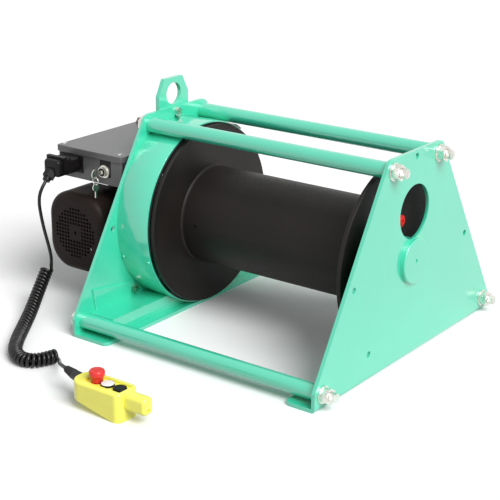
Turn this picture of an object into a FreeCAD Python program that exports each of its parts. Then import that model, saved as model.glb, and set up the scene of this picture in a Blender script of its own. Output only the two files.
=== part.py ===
import FreeCAD, Part
import math
import os
import Sketcher

# Electric wire rope puller.  X runs along the drum axis, Y from the control side (-) to the
# back (+), Z up.  The origin is at floor level, in the middle of the floor bolt pattern.

DIMENSIONS = {
    # frame
    "end_x": 315, "plate_thick": 8, "base_half": 351, "base_edge": 40, "top_z": 446,
    "top_half": 104, "plate_corner": 24, "bend_radius": 9, "right_foot": 71, "left_foot": 96,
    "foot_corner": 14, "tie_top_y": 90, "tie_top_z": 421, "tie_low_y": 323, "tie_low_z": 31.5,
    "tube_dia": 33.7, "tube_wall": 3.2, "rod_dia": 20, "rod_hole": 21, "rod_tail": 34,
    "washer_dia": 37, "washer_thick": 3, "nut_width": 30, "nut_high": 16, "head_high": 13,
    "floor_bolt_x": 279.5, "floor_bolt_y": 250, "floor_hole": 14,
    "side_hole": 13, "side_hole_y": 222, "low_hole_y": 160, "low_hole_z": 58, "top_hole_z": 433,
    "view_hole": 115, "view_hole_z": 317,
    "channel_half": 304, "channel_wide": 67, "channel_top": 42, "channel_wall": 4,
    "pad_thick": 5, "pad_back": 174, "pad_front": 296, "pad_foot": 288, "pad_low": 78, "pad_high": 94,
    # lifting lug
    "lug_thick": 10, "lug_half": 51, "lug_top_half": 31, "lug_shoulder_z": 473, "lug_top_z": 511,
    "lug_eye": 50, "lug_eye_z": 474, "lug_foot_z": 415,
    # drum
    "drum_z": 212.6, "flange_dia": 406, "flange_thick": 10, "barrel_dia": 219, "barrel_wall": 8,
    "left_flange_x": -217, "right_flange_x": 261, "shaft_dia": 44.9,
    "anchor_hole": 6, "anchor_in": 37, "anchor_up": 4, "clamp_y": 17, "clamp_z": 284,
    "gear_modul": 3, "gear_teeth": 80, "gear_wide": 25, "gear_x": -277, "pinion_teeth": 20,
    # drum guard
    "guard_dia": 418, "guard_thick": 3, "guard_edge_x": -221, "strip_thick": 2.5, "strip_wide": 14,
    "strip_end": 13, "bar_angle": 56, "bar_wide": 20, "bar_thick": 4,
    # shaft bearings
    "boss_dia": 100, "boss_lip": 2.4, "boss_proud": 9.4, "cup_dia": 90, "boss_deep": 24,
    "bearing_dia": 75, "bearing_bore": 45, "bearing_wide": 16,
    # motor and gearbox
    "motor_x": -444, "motor_z": 170, "motor_face_y": -200, "cowl_half": 83, "cowl_half_z": 91,
    "cowl_corner": 60, "cowl_face": 16, "cowl_deep": 100, "cowl_wall": 2.5, "body_dia": 140,
    "body_bore": 112, "winding": 10,
    "fin_out": 158, "fins": 28, "fin_thick": 3, "motor_end_y": 26.5, "stator_bore": 72,
    "core_long": 80, "rotor_dia": 71, "motor_shaft": 18.9, "box_y": 106.5, "box_half": 70,
    "box_low_z": 45, "box_top_z": 206, "box_left_x": -496, "box_right_x": -392, "box_wall": 8,
    "neck_dia": 110, "worm_dia": 32, "worm_long": 60, "wheel_drop": 63, "wheel_teeth": 30,
    "wheel_wide": 28, "pinion_shaft": 29.9, "pinion_bearing_x": -340,
    "grille_pitch": 8.5, "grille_hole": 5.6,
    # control box
    "case_left": -520, "case_right": -330, "case_front": -165, "case_back": 135, "case_low": 288,
    "case_top": 355, "case_wall": 2.5, "lid_thick": 3, "lid_over": 2.5, "lid_rim": 11,
    # connector and key switch
    "plug_x": -478, "plug_z": 322, "key_x": -377, "key_z": 319,
    # pendant
    "pend_left": -80, "pend_right": 48, "pend_y": -579, "pend_half": 30, "pend_split": 30,
    "pend_top": 60, "pend_round": 27, "pend_square": 14, "pend_rise": 24, "nose_end": 97,
    "nose_half": 14, "nose_low": 22, "nose_top": 58, "stop_x": -31, "raise_x": -4, "lower_x": 27, "push_dia": 27, "stop_stem": 24,
    "stop_head": 31,
    # cord
    "cord_dia": 7.7, "coil_dia": 31,
}


class Size:
    """A length that also remembers the sheet formula it comes from."""

    def __init__(self, value, text):
        self.value = value
        self.text = text

    def __add__(self, other):
        return Size(number(self) + number(other), "(%s + %s)" % (formula(self), formula(other)))

    def __radd__(self, other):
        return Size(number(other) + number(self), "(%s + %s)" % (formula(other), formula(self)))

    def __sub__(self, other):
        return Size(number(self) - number(other), "(%s - %s)" % (formula(self), formula(other)))

    def __rsub__(self, other):
        return Size(number(other) - number(self), "(%s - %s)" % (formula(other), formula(self)))

    def __mul__(self, other):
        return Size(number(self) * number(other), "(%s * %s)" % (formula(self), formula(other)))

    __rmul__ = __mul__

    def __truediv__(self, other):
        return Size(number(self) / number(other), "(%s / %s)" % (formula(self), formula(other)))

    def __neg__(self):
        return Size(-number(self), "(0 - %s)" % formula(self))


def number(size):
    return size.value if isinstance(size, Size) else float(size)


def formula(size):
    return size.text if isinstance(size, Size) else repr(float(size))


doc = FreeCAD.newDocument("rope_puller")
sheet = doc.addObject("Spreadsheet::Sheet", "Dim")


def fill_sheet():
    """Write each driving dimension in its own row and return them as Sizes."""
    sizes = {}
    for row, (alias, value) in enumerate(DIMENSIONS.items(), 1):
        sheet.set("A%d" % row, alias)
        sheet.set("B%d" % row, str(value))
        sheet.setAlias("B%d" % row, alias)
        sizes[alias] = Size(float(value), "Dim." + alias)
    doc.recompute()
    return sizes


class Names:
    """Gives the Sizes as attributes."""

    def __init__(self, table):
        self.__dict__.update(table)


D = Names(fill_sheet())
NODES = {}
TURN = {
    "z": FreeCAD.Rotation(),
    "x": FreeCAD.Rotation(FreeCAD.Vector(0, 1, 0), 90),
    "y": FreeCAD.Rotation(FreeCAD.Vector(1, 0, 0), -90),
}


# ---------------------------------------------------------------- document helpers

def bind(obj, prop, size):
    """Set a property, and tie it to the sheet when the size comes from there."""
    setattr(obj, prop, number(size))
    if isinstance(size, Size):
        obj.setExpression(prop, size.text)


def place(obj, at, rotation=None):
    start = FreeCAD.Vector(*[number(size) for size in at])
    obj.Placement = FreeCAD.Placement(start, rotation or FreeCAD.Rotation())
    for axis, size in zip("xyz", at):
        if isinstance(size, Size):
            obj.setExpression("Placement.Base." + axis, size.text)


def rod(along, at, dia, length):
    """A round bar of a diameter, from a point, along +X, +Y or +Z."""
    obj = doc.addObject("Part::Cylinder", "Rod")
    bind(obj, "Radius", dia / 2)
    bind(obj, "Height", length)
    place(obj, at, TURN[along])
    return obj


def cone(along, at, dia, end_dia, length):
    obj = doc.addObject("Part::Cone", "Cone")
    bind(obj, "Radius1", dia / 2)
    bind(obj, "Radius2", end_dia / 2)
    bind(obj, "Height", length)
    place(obj, at, TURN[along])
    return obj


def block(low, high):
    """A box between its lowest and highest corners."""
    obj = doc.addObject("Part::Box", "Block")
    for prop, start, end in zip(("Length", "Width", "Height"), low, high):
        bind(obj, prop, end - start)
    place(obj, low)
    return obj


def prism(along, at, width, length, sides=6):
    """A bar with flat sides, such as a nut; width is across the flats."""
    obj = doc.addObject("Part::Prism", "Prism")
    obj.Polygon = sides
    bind(obj, "Circumradius", width / (2 * math.cos(math.pi / sides)))
    bind(obj, "Height", length)
    place(obj, at, TURN[along])
    return obj


def fuse(*parts):
    obj = doc.addObject("Part::MultiFuse", "Fuse")
    obj.Shapes = list(parts)
    obj.Refine = True
    return obj


def cut(base, *tools):
    obj = doc.addObject("Part::Cut", "Cut")
    obj.Base = base
    obj.Tool = tools[0] if len(tools) == 1 else fuse(*tools)
    return obj


def ring(along, at, dia, bore, length):
    return cut(rod(along, at, dia, length), rod(along, at, bore, length))


def group(*parts):
    """Several separate solids that share one node."""
    obj = doc.addObject("Part::Compound", "Group")
    obj.Links = list(parts)
    return obj


def node(name, obj):
    obj.Label = name
    NODES[name] = obj
    return obj


def close(value, target):
    return abs(value - number(target)) < 0.05


def round_edges(obj, radius, chosen):
    """Fillet the edges of a finished solid whose middle point is chosen."""
    doc.recompute()
    fillet = doc.addObject("Part::Fillet", "Rounded")
    fillet.Base = obj
    edges = []
    for index, edge in enumerate(obj.Shape.Edges, 1):
        middle = edge.valueAt((edge.FirstParameter + edge.LastParameter) / 2)
        if chosen(middle, edge):
            edges.append((index, number(radius), number(radius)))
    if not edges:
        raise RuntimeError("no edges to round on " + obj.Name)
    fillet.Edges = edges
    return fillet


def is_line(edge, axis):
    """Whether an edge is a straight line along X, Y or Z."""
    if edge.Curve.TypeId != "Part::GeomLine":
        return False
    return abs(edge.Curve.Direction.dot(axis)) > 0.999


X_AXIS = FreeCAD.Vector(1, 0, 0)
Y_AXIS = FreeCAD.Vector(0, 1, 0)
Z_AXIS = FreeCAD.Vector(0, 0, 1)


# ---------------------------------------------------------------- PartDesign helpers

def new_body():
    return doc.addObject("PartDesign::Body", "Body")


def sketch(body, role, offset=0.0):
    """A sketch on one of the body's origin planes, moved along the plane's normal."""
    drawing = body.newObject("Sketcher::SketchObject", "Sketch")
    planes = [item for item in body.Origin.OriginFeatures if item.Role == role]
    drawing.AttachmentSupport = [(planes[0], "")]
    drawing.MapMode = "FlatFace"
    drawing.AttachmentOffset = FreeCAD.Placement(FreeCAD.Vector(0, 0, number(offset)), FreeCAD.Rotation())
    if isinstance(offset, Size):
        drawing.setExpression("AttachmentOffset.Base.z", offset.text)
    return drawing


def pin_point(drawing, geometry, point, across, up):
    """Fix a sketch point at a place whose coordinates come from the sheet."""
    for kind, axis, size in (("DistanceX", -2, across), ("DistanceY", -1, up)):
        if abs(number(size)) < 1e-6:
            drawing.addConstraint(Sketcher.Constraint("PointOnObject", geometry, point, axis))
            continue
        index = drawing.addConstraint(
            Sketcher.Constraint(kind, -1, 1, geometry, point, number(size)))
        if isinstance(size, Size):
            drawing.setExpression("Constraints[%d]" % index, size.text)


def draw_outline(drawing, corners):
    """A closed outline of straight lines through the corners."""
    spots = [FreeCAD.Vector(number(across), number(up), 0) for across, up in corners]
    first = drawing.GeometryCount
    count = len(spots)
    for index, spot in enumerate(spots):
        drawing.addGeometry(Part.LineSegment(spot, spots[(index + 1) % count]), False)
    for index in range(count):
        following = first + (index + 1) % count
        drawing.addConstraint(Sketcher.Constraint("Coincident", first + index, 2, following, 1))
    for index, (across, up) in enumerate(corners):
        pin_point(drawing, first + index, 1, across, up)


def draw_circle(drawing, across, up, dia):
    middle = FreeCAD.Vector(number(across), number(up), 0)
    circle = Part.Circle(middle, FreeCAD.Vector(0, 0, 1), number(dia) / 2)
    index = drawing.addGeometry(circle, False)
    pin_point(drawing, index, 3, across, up)
    limit = drawing.addConstraint(Sketcher.Constraint("Diameter", index, number(dia)))
    if isinstance(dia, Size):
        drawing.setExpression("Constraints[%d]" % limit, dia.text)


def pad(body, drawing, length, reverse=False):
    feature = body.newObject("PartDesign::Pad", "Pad")
    feature.Profile = drawing
    bind(feature, "Length", length)
    feature.Reversed = reverse
    return feature


def pocket_through(body, drawing):
    """Cut the sketch right through the body, both ways."""
    feature = body.newObject("PartDesign::Pocket", "Pocket")
    feature.Profile = drawing
    feature.Type = 1
    feature.Midplane = True
    return feature


def fillet_body(body, feature, radius, chosen):
    """Round the chosen edges of a body's latest feature."""
    doc.recompute()
    names = []
    for index, edge in enumerate(feature.Shape.Edges, 1):
        middle = edge.valueAt((edge.FirstParameter + edge.LastParameter) / 2)
        if chosen(middle, edge):
            names.append("Edge%d" % index)
    if not names:
        raise RuntimeError("no edges to round in " + body.Name)
    rounded = body.newObject("PartDesign::Fillet", "Fillet")
    rounded.Base = (feature, names)
    bind(rounded, "Radius", radius)
    return rounded


def revolve(body, drawing, axis):
    """Turn a sketch once round its own X or Y axis."""
    feature = body.newObject("PartDesign::Revolution", "Revolution")
    feature.Profile = drawing
    feature.ReferenceAxis = (drawing, [axis])
    feature.Angle = 360
    return feature


def polar_copies(body, feature, drawing, axis, count):
    pattern = body.newObject("PartDesign::PolarPattern", "PolarPattern")
    pattern.Originals = [feature]
    pattern.Axis = (drawing, [axis])
    pattern.Angle = 360
    pattern.Occurrences = int(number(count))
    body.Tip = pattern
    return pattern


# ---------------------------------------------------------------- frame

INNER_X = D.end_x - D.plate_thick
PLATE_TOP = D.plate_thick


def end_plate(name, side, foot):
    """A folded end plate: a tapered wall with a foot turned inwards along its lower edge."""
    body = new_body()
    inner = side * INNER_X
    wall_drawing = sketch(body, "YZ_Plane", inner)
    draw_outline(wall_drawing, [
        (-D.base_half, 0.0), (D.base_half, 0.0), (D.base_half, D.base_edge),
        (D.top_half, D.top_z), (-D.top_half, D.top_z), (-D.base_half, D.base_edge)])
    wall = pad(body, wall_drawing, D.plate_thick, reverse=side < 0)
    wall = fillet_body(
        body, wall, D.plate_corner,
        lambda middle, edge: close(abs(middle.y), D.top_half) and close(middle.z, D.top_z))
    foot_drawing = sketch(body, "XY_Plane")
    toe = side * (D.end_x - foot)
    heel = side * (INNER_X + D.plate_thick / 2)
    draw_outline(foot_drawing, [
        (toe, -D.base_half), (heel, -D.base_half), (heel, D.base_half), (toe, D.base_half)])
    base = pad(body, foot_drawing, PLATE_TOP)
    base = fillet_body(
        body, base, D.foot_corner,
        lambda middle, edge: is_line(edge, Z_AXIS) and close(middle.x, toe))
    base = fillet_body(
        body, base, D.bend_radius,
        lambda middle, edge: is_line(edge, Y_AXIS) and close(middle.x, side * D.end_x)
        and close(middle.z, 0))
    holes = sketch(body, "YZ_Plane", inner)
    for y_side in (-1, 1):
        draw_circle(holes, y_side * D.tie_top_y, D.tie_top_z, D.rod_hole)
        draw_circle(holes, y_side * D.tie_low_y, D.tie_low_z, D.rod_hole)
        draw_circle(holes, y_side * D.side_hole_y, D.drum_z, D.side_hole)
    draw_circle(holes, -D.low_hole_y, D.low_hole_z, D.side_hole)
    draw_circle(holes, 0.0, D.top_hole_z, D.side_hole)
    draw_circle(holes, 0.0, D.view_hole_z, D.view_hole)
    draw_circle(holes, 0.0, D.drum_z, D.cup_dia)
    if side < 0:
        draw_circle(holes, D.box_y, D.motor_z - D.wheel_drop, D.neck_dia - 30)
    pocket_through(body, holes)
    floor_holes = sketch(body, "XY_Plane")
    for y_side in (-1, 1):
        draw_circle(floor_holes, side * D.floor_bolt_x, y_side * D.floor_bolt_y, D.floor_hole)
    pocket_through(body, floor_holes)
    node(name, body)


def tie_points():
    """The four tie bolt centres, as (y, z)."""
    top = [(side * D.tie_top_y, D.tie_top_z) for side in (-1, 1)]
    low = [(side * D.tie_low_y, D.tie_low_z) for side in (-1, 1)]
    return top, low


def tie_tubes():
    for name, points in zip(("top_tie_tubes", "bottom_tie_tubes"), tie_points()):
        bore = D.tube_dia - 2 * D.tube_wall
        tubes = [ring("x", (-INNER_X, y, z), D.tube_dia, bore, 2 * INNER_X) for y, z in points]
        node(name, group(*tubes))


def tie_rods():
    """Long bolts through the tubes, with a washer and nut at the right end."""
    rods, washers, nuts = [], [], []
    left_face = -D.end_x - D.washer_thick
    right_face = D.end_x + D.washer_thick
    for y, z in tie_points()[0] + tie_points()[1]:
        shank = rod("x", (left_face, y, z), D.rod_dia, 2 * D.end_x + D.rod_tail)
        head = prism("x", (left_face - D.head_high, y, z), D.nut_width, D.head_high)
        rods.append(fuse(shank, head))
        nut = prism("x", (right_face, y, z), D.nut_width, D.nut_high)
        nuts.append(cut(nut, rod("x", (right_face, y, z), D.rod_dia, D.nut_high)))
        for face in (left_face, D.end_x):
            washers.append(ring("x", (face, y, z), D.washer_dia, D.rod_hole, D.washer_thick))
    node("tie_rods", group(*rods))
    node("tie_washers", group(*washers))
    node("tie_nuts", group(*nuts))


def base_channel():
    """Two lengths of hollow channel on the left foot, one each side of the drum guard."""
    left = -INNER_X
    right = left + D.channel_wide
    wall = D.channel_wall
    pieces = []
    for side in (-1, 1):
        near, far = (-D.channel_half, 0.0) if side < 0 else (0.0, D.channel_half)
        shell = block((left, near, PLATE_TOP), (right, far, D.channel_top))
        hollow_near = near + wall if side < 0 else near
        hollow = block((left + wall, hollow_near, PLATE_TOP), (right - wall, far, D.channel_top - wall))
        around = rod("x", (left, 0.0, D.drum_z), D.guard_dia + 1, D.channel_wide)
        pieces.append(cut(shell, hollow, around))
    node("base_channel", group(*pieces))


def wall_pad():
    """A stiffening plate on the inner wall, just above the channel."""
    body = new_body()
    drawing = sketch(body, "YZ_Plane", -INNER_X)
    draw_outline(drawing, [
        (-D.pad_foot, D.channel_top), (-D.pad_back, D.channel_top),
        (-D.pad_back, D.pad_low), (-D.pad_front, D.pad_high)])
    plate = pad(body, drawing, D.pad_thick)
    fillet_body(
        body, plate, 2.0,
        lambda middle, edge: close(middle.x, D.pad_thick - INNER_X) and middle.z > D.channel_top.value + 1)
    node("wall_pad", body)


def lifting_lug():
    """An eye plate bolted to the outside of the left end plate."""
    body = new_body()
    drawing = sketch(body, "YZ_Plane", -D.end_x)
    draw_outline(drawing, [
        (-D.lug_half, D.lug_foot_z), (D.lug_half, D.lug_foot_z), (D.lug_half, D.lug_shoulder_z),
        (D.lug_top_half, D.lug_top_z), (-D.lug_top_half, D.lug_top_z),
        (-D.lug_half, D.lug_shoulder_z)])
    plate = pad(body, drawing, D.lug_thick, reverse=True)
    plate = fillet_body(
        body, plate, 3.0,
        lambda middle, edge: is_line(edge, X_AXIS) and middle.z > D.lug_foot_z.value + 1)
    holes = sketch(body, "YZ_Plane", -D.end_x)
    draw_circle(holes, 0.0, D.lug_eye_z, D.lug_eye)
    draw_circle(holes, 0.0, D.top_hole_z, D.side_hole)
    pocket_through(body, holes)
    node("lifting_lug", body)


def bolt(at, dia, length, direction=-1):
    """A hexagon bolt along X whose head is at the start; direction says where the shank goes."""
    x, y, z = at
    head_high = 0.65 * dia
    head_start = x if direction < 0 else x - head_high
    shank_start = x - length if direction < 0 else x
    head = prism("x", (head_start, y, z), 1.6 * dia, head_high)
    return fuse(head, rod("x", (shank_start, y, z), dia, length))


def frame_bolts():
    """The lug bolt and the channel bolt, with the guard's small screws."""
    bolts = [
        bolt((-INNER_X, 0.0, D.top_hole_z), D.side_hole - 1, 22.0),
        bolt((-INNER_X, -D.low_hole_y, D.low_hole_z), D.side_hole - 1, 20.0)]
    for spot in (-300.0, -228.0):
        angle = math.radians(199)
        radius = D.guard_dia.value / 2
        at = (spot, radius * math.cos(angle), D.drum_z.value + radius * math.sin(angle))
        head = doc.addObject("Part::Cylinder", "Screw")
        head.Radius = 3
        head.Height = 2.5
        outward = FreeCAD.Vector(0, math.cos(angle), math.sin(angle))
        place(head, at, FreeCAD.Rotation(Z_AXIS, outward))
        bolts.append(head)
    node("frame_bolts", group(*bolts))


# ---------------------------------------------------------------- drum guard

def drum_guard():
    """The rolled band round the left flange, standing on the foot."""
    width = D.guard_edge_x + INNER_X
    start = (-INNER_X, 0.0, D.drum_z)
    band = ring("x", start, D.guard_dia, D.guard_dia - 2 * D.guard_thick, width)
    below = block((-INNER_X, -D.guard_dia / 2, 0.0), (D.guard_edge_x, D.guard_dia / 2, PLATE_TOP))
    node("drum_guard", cut(band, below))


def guard_edge_strip():
    """A black sealing strip inside the guard's mouth, over the upper part of the flange."""
    start = D.guard_edge_x + 3.5 - D.strip_wide
    outer = D.guard_dia - 2 * D.guard_thick
    strip = ring("x", (start, 0.0, D.drum_z), outer, outer - 2 * D.strip_thick, D.strip_wide)
    drop = number(D.guard_dia) / 2 * math.sin(math.radians(number(D.strip_end)))
    reach = D.guard_dia / 2
    below = block((start, -reach, 0.0), (start + D.strip_wide, reach, D.drum_z - drop))
    node("guard_edge_strip", cut(strip, below))


def guard_joint_bar():
    """The flat bar that closes the band's seam, on its upper back quarter."""
    bar = doc.addObject("Part::Box", "Bar")
    bind(bar, "Length", D.guard_edge_x + INNER_X)
    bind(bar, "Width", D.bar_wide)
    bind(bar, "Height", D.bar_thick)
    angle = math.radians(number(D.bar_angle))
    radius = number(D.guard_dia) / 2 + 0.3
    half = number(D.bar_wide) / 2
    y = radius * math.cos(angle) - half * math.sin(angle)
    z = number(D.drum_z) + radius * math.sin(angle) + half * math.cos(angle)
    turn = FreeCAD.Rotation(X_AXIS, number(D.bar_angle) - 90)
    place(bar, (-INNER_X, y, z), turn)
    node("guard_joint_bar", bar)


# ---------------------------------------------------------------- drum

def gear_outline(drawing, teeth, across, up, phase, modul):
    """A spur gear's outline with straight-flanked teeth, a little thin for backlash."""
    root = modul * teeth / 2 - 1.25 * modul
    tip = modul * teeth / 2 + 0.85 * modul
    pitch = 2 * math.pi / teeth
    points = []
    for tooth in range(teeth):
        centre = phase + tooth * pitch
        for radius, share in ((root, -0.33), (tip, -0.11), (tip, 0.11), (root, 0.33)):
            angle = centre + share * pitch
            points.append((across + radius * math.cos(angle), up + radius * math.sin(angle)))
    spots = [FreeCAD.Vector(y, z, 0) for y, z in points]
    for index, spot in enumerate(spots):
        drawing.addGeometry(Part.LineSegment(spot, spots[(index + 1) % len(spots)]), False)


def gear_line():
    """The angle, seen from +X, of the line from the drum axis to the pinion axis."""
    pinion_z = number(D.motor_z) - number(D.wheel_drop)
    return math.atan2(pinion_z - number(D.drum_z), number(D.box_y))


def drum_gear():
    """The spur gear inside the guard, keyed to the drum shaft by a long hub."""
    body = new_body()
    drawing = sketch(body, "YZ_Plane", D.gear_x)
    gear_outline(
        drawing, int(number(D.gear_teeth)), 0.0, number(D.drum_z), gear_line(), number(D.gear_modul))
    pad(body, drawing, D.gear_wide)
    hub = sketch(body, "YZ_Plane", D.gear_x)
    draw_circle(hub, 0.0, D.drum_z, D.bearing_dia)
    pad(body, hub, D.left_flange_x - D.gear_x)
    bore = sketch(body, "YZ_Plane", D.gear_x)
    draw_circle(bore, 0.0, D.drum_z, D.shaft_dia)
    pocket_through(body, bore)
    node("drum_gear", body)


def flange(name, start, bore):
    body = new_body()
    drawing = sketch(body, "YZ_Plane", start)
    draw_circle(drawing, 0.0, D.drum_z, D.flange_dia)
    draw_circle(drawing, 0.0, D.drum_z, bore)
    disc = pad(body, drawing, D.flange_thick)
    rim = number(D.flange_dia) / 2

    def on_rim(middle, edge):
        if edge.Curve.TypeId != "Part::GeomCircle":
            return False
        return abs(edge.Curve.Radius - rim) < 0.1

    fillet_body(body, disc, 2.0, on_rim)
    node(name, body)


def drum():
    """The rope barrel, the flanges welded to its ends, the shaft and the rope clamp."""
    barrel_start = D.left_flange_x + D.flange_thick
    barrel_long = D.right_flange_x - barrel_start
    barrel_bore = D.barrel_dia - 2 * D.barrel_wall
    start = (barrel_start, 0.0, D.drum_z)
    barrel = ring("x", start, D.barrel_dia, barrel_bore, barrel_long)
    anchor_at = (barrel_start + D.anchor_in, -D.barrel_dia / 2 - 1, D.drum_z + D.anchor_up)
    anchor = rod("y", anchor_at, D.anchor_hole, 2 * D.barrel_wall)
    node("drum_barrel", cut(barrel, anchor))
    flange("left_flange", D.left_flange_x, D.shaft_dia)
    flange("right_flange", D.right_flange_x, D.shaft_dia)
    shaft_half = D.end_x - 15
    shaft = rod("x", (-shaft_half, 0.0, D.drum_z), D.shaft_dia, 2 * shaft_half)
    node("drum_shaft", round_edges(
        shaft, 1.5, lambda middle, edge: close(abs(middle.x), shaft_half)))
    clamp_x = D.right_flange_x + D.flange_thick
    clamp = fuse(
        rod("x", (clamp_x, D.clamp_y, D.clamp_z), 26.0, 5.0),
        rod("x", (clamp_x + 5, D.clamp_y, D.clamp_z), 16.0, 3.0))
    clamp = cut(clamp, rod("x", (clamp_x + 2, D.clamp_y, D.clamp_z), 8.0, 6.0))
    node("rope_clamp", clamp)


def bearing_housings():
    """Closed cups through both end plates; the right one stands proud as a round boss."""
    inner = D.end_x - D.plate_thick - D.boss_deep
    cups = []
    for side in (1, -1):
        cup_x = inner if side > 0 else -D.end_x
        lip_x = D.end_x if side > 0 else -D.end_x - D.boss_lip
        pocket_x = inner if side > 0 else -inner - D.bearing_wide - 2
        cup = fuse(
            rod("x", (cup_x, 0.0, D.drum_z), D.cup_dia, D.end_x - inner),
            rod("x", (lip_x, 0.0, D.drum_z), D.boss_dia, D.boss_lip))
        cups.append(cut(cup, rod("x", (pocket_x, 0.0, D.drum_z), D.bearing_dia, D.bearing_wide + 2)))
    cap = rod("x", (D.end_x + D.boss_lip, 0.0, D.drum_z), D.boss_dia - 4, D.boss_proud - D.boss_lip)
    cap = round_edges(cap, 3.0, lambda middle, edge: close(middle.x, D.end_x + D.boss_proud))
    cap = cut(cap, rod("x", (D.end_x + D.boss_proud - 3, 0.0, D.drum_z), 8.0, 3.0))
    cups[0] = fuse(cups[0], cap)
    node("bearing_housings", group(*cups))


def ball_bearing(along, at, dia, bore, width):
    """Two races with a shielded gap between them, as one sealed ring."""
    start = list(at)
    body = ring(along, start, dia, bore, width)
    middle = (dia + bore) / 2
    shield_at = list(start)
    shield = ring(along, shield_at, middle + 10, middle - 2, 1.0)
    return cut(body, shield)


def bearings():
    """The drum's two bearings, and those of the pinion shaft and the motor shaft."""
    inner = D.end_x - D.plate_thick - D.boss_deep
    rings = []
    for x in (inner + 2, -inner - 2 - D.bearing_wide):
        rings.append(ball_bearing(
            "x", (x, 0.0, D.drum_z), D.bearing_dia, D.bearing_bore, D.bearing_wide))
    wheel_z = D.motor_z - D.wheel_drop
    for x in (D.box_left_x + D.box_wall, D.pinion_bearing_x):
        rings.append(ball_bearing("x", (x, D.box_y, wheel_z), 62.0, 30.0, 16.0))
    for y in (-105.0, D.motor_end_y - 6, D.box_y + D.box_half - D.box_wall - 12):
        rings.append(ball_bearing("y", (D.motor_x, y, D.motor_z), 40.0, 19.0, 12.0))
    node("bearings", group(*rings))


# ---------------------------------------------------------------- gearbox

WHEEL_Z = D.motor_z - D.wheel_drop
BOX_FRONT = D.box_y - D.box_half
BOX_BACK = D.box_y + D.box_half


def gearbox_housing():
    """The worm gear case with its neck, which is bolted to the left end plate."""
    case = block((D.box_left_x, BOX_FRONT, D.box_low_z), (D.box_right_x, BOX_BACK, D.box_top_z))
    case = round_edges(
        case, 8.0, lambda middle, edge: is_line(edge, X_AXIS))
    neck = rod("x", (D.box_right_x, D.box_y, WHEEL_Z), D.neck_dia, -D.end_x - D.box_right_x)
    seat_x = D.pinion_bearing_x
    hollows = [
        rod("x", (D.box_left_x, D.box_y, WHEEL_Z), 108.0, D.box_right_x - D.box_wall - D.box_left_x),
        rod("y", (D.motor_x, BOX_FRONT + D.box_wall, D.motor_z), 40.0, 2 * (D.box_half - D.box_wall)),
        rod("y", (D.motor_x, BOX_FRONT, D.motor_z), 26.0, D.box_wall),
        rod("x", (D.box_right_x - D.box_wall, D.box_y, WHEEL_Z), 38.0, 60.0),
        rod("x", (seat_x, D.box_y, WHEEL_Z), 62.0, -D.end_x - seat_x)]
    node("gearbox_housing", cut(fuse(case, neck), *hollows))
    lid_x = D.box_left_x - D.box_wall
    seat = D.box_left_x + D.box_wall
    lid = fuse(
        rod("x", (lid_x, D.box_y, WHEEL_Z), 128.0, D.box_wall),
        rod("x", (D.box_left_x, D.box_y, WHEEL_Z), 107.8, 24.0))
    lid = cut(lid, rod("x", (seat, D.box_y, WHEEL_Z), 62.0, 20.0))
    node("gearbox_cover", lid)


def toothed_disc(name, teeth, modul, x, y, z, wide, phase=0.0):
    """A gear blank as a body, with its axis along X."""
    body = new_body()
    drawing = sketch(body, "YZ_Plane", x)
    gear_outline(drawing, teeth, number(y), number(z), phase, modul)
    pad(body, drawing, wide)
    body.Label = name
    return body


def worm_wheel():
    """The bronze wheel: a toothed disc whose rim is hollowed to clear the worm."""
    start = D.motor_x - D.wheel_wide / 2
    disc = toothed_disc(
        "wheel_blank", int(number(D.wheel_teeth)), 3.16, start, D.box_y, WHEEL_Z, D.wheel_wide)
    throat = doc.addObject("Part::Torus", "Throat")
    bind(throat, "Radius1", D.wheel_drop)
    bind(throat, "Radius2", D.worm_dia / 2 + 0.5)
    place(throat, (D.motor_x, D.box_y, WHEEL_Z), TURN["x"])
    bore = rod("x", (start, D.box_y, WHEEL_Z), D.pinion_shaft, D.wheel_wide)
    node("worm_wheel", cut(disc, throat, bore))


def pinion_shaft():
    """The gearbox's output shaft with the pinion cut on its end."""
    teeth = int(number(D.pinion_teeth))
    phase = gear_line() + math.pi + math.pi / teeth
    start = D.gear_x - 2
    wide = D.gear_wide + 4
    pinion = toothed_disc("pinion_blank", teeth, number(D.gear_modul), start, D.box_y, WHEEL_Z, wide, phase)
    shaft_x = D.box_left_x + 10
    shaft = rod("x", (shaft_x, D.box_y, WHEEL_Z), D.pinion_shaft, start + 4 - shaft_x)
    node("pinion_shaft", fuse(pinion, shaft))


# ---------------------------------------------------------------- motor

def motor_shaft():
    """The rotor shaft, whose far end carries the worm; its thread is a row of ring grooves."""
    start = D.motor_face_y + 14
    end = BOX_BACK - D.box_wall
    shaft = rod("y", (D.motor_x, start, D.motor_z), D.motor_shaft, end - start)
    worm_start = D.box_y - D.worm_long / 2
    worm = rod("y", (D.motor_x, worm_start, D.motor_z), D.worm_dia, D.worm_long)
    grooves = []
    for turn in range(6):
        groove_y = worm_start + 3 + 9.6 * turn
        grooves.append(ring("y", (D.motor_x, groove_y, D.motor_z), D.worm_dia + 2, 21.0, 4.5))
    node("motor_shaft", fuse(shaft, cut(worm, *grooves)))


def rotor_and_stator():
    core_y = (D.motor_face_y + D.cowl_deep + D.motor_end_y) / 2 - D.core_long / 2
    at = (D.motor_x, core_y, D.motor_z)
    node("rotor_core", ring("y", at, D.rotor_dia, D.motor_shaft, D.core_long))
    core = ring("y", at, D.body_bore, D.stator_bore, D.core_long)
    windings = [
        ring("y", (D.motor_x, core_y - D.winding, D.motor_z), 102.0, 78.0, D.winding),
        ring("y", (D.motor_x, core_y + D.core_long, D.motor_z), 102.0, 78.0, D.winding)]
    node("stator", fuse(core, *windings))


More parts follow.
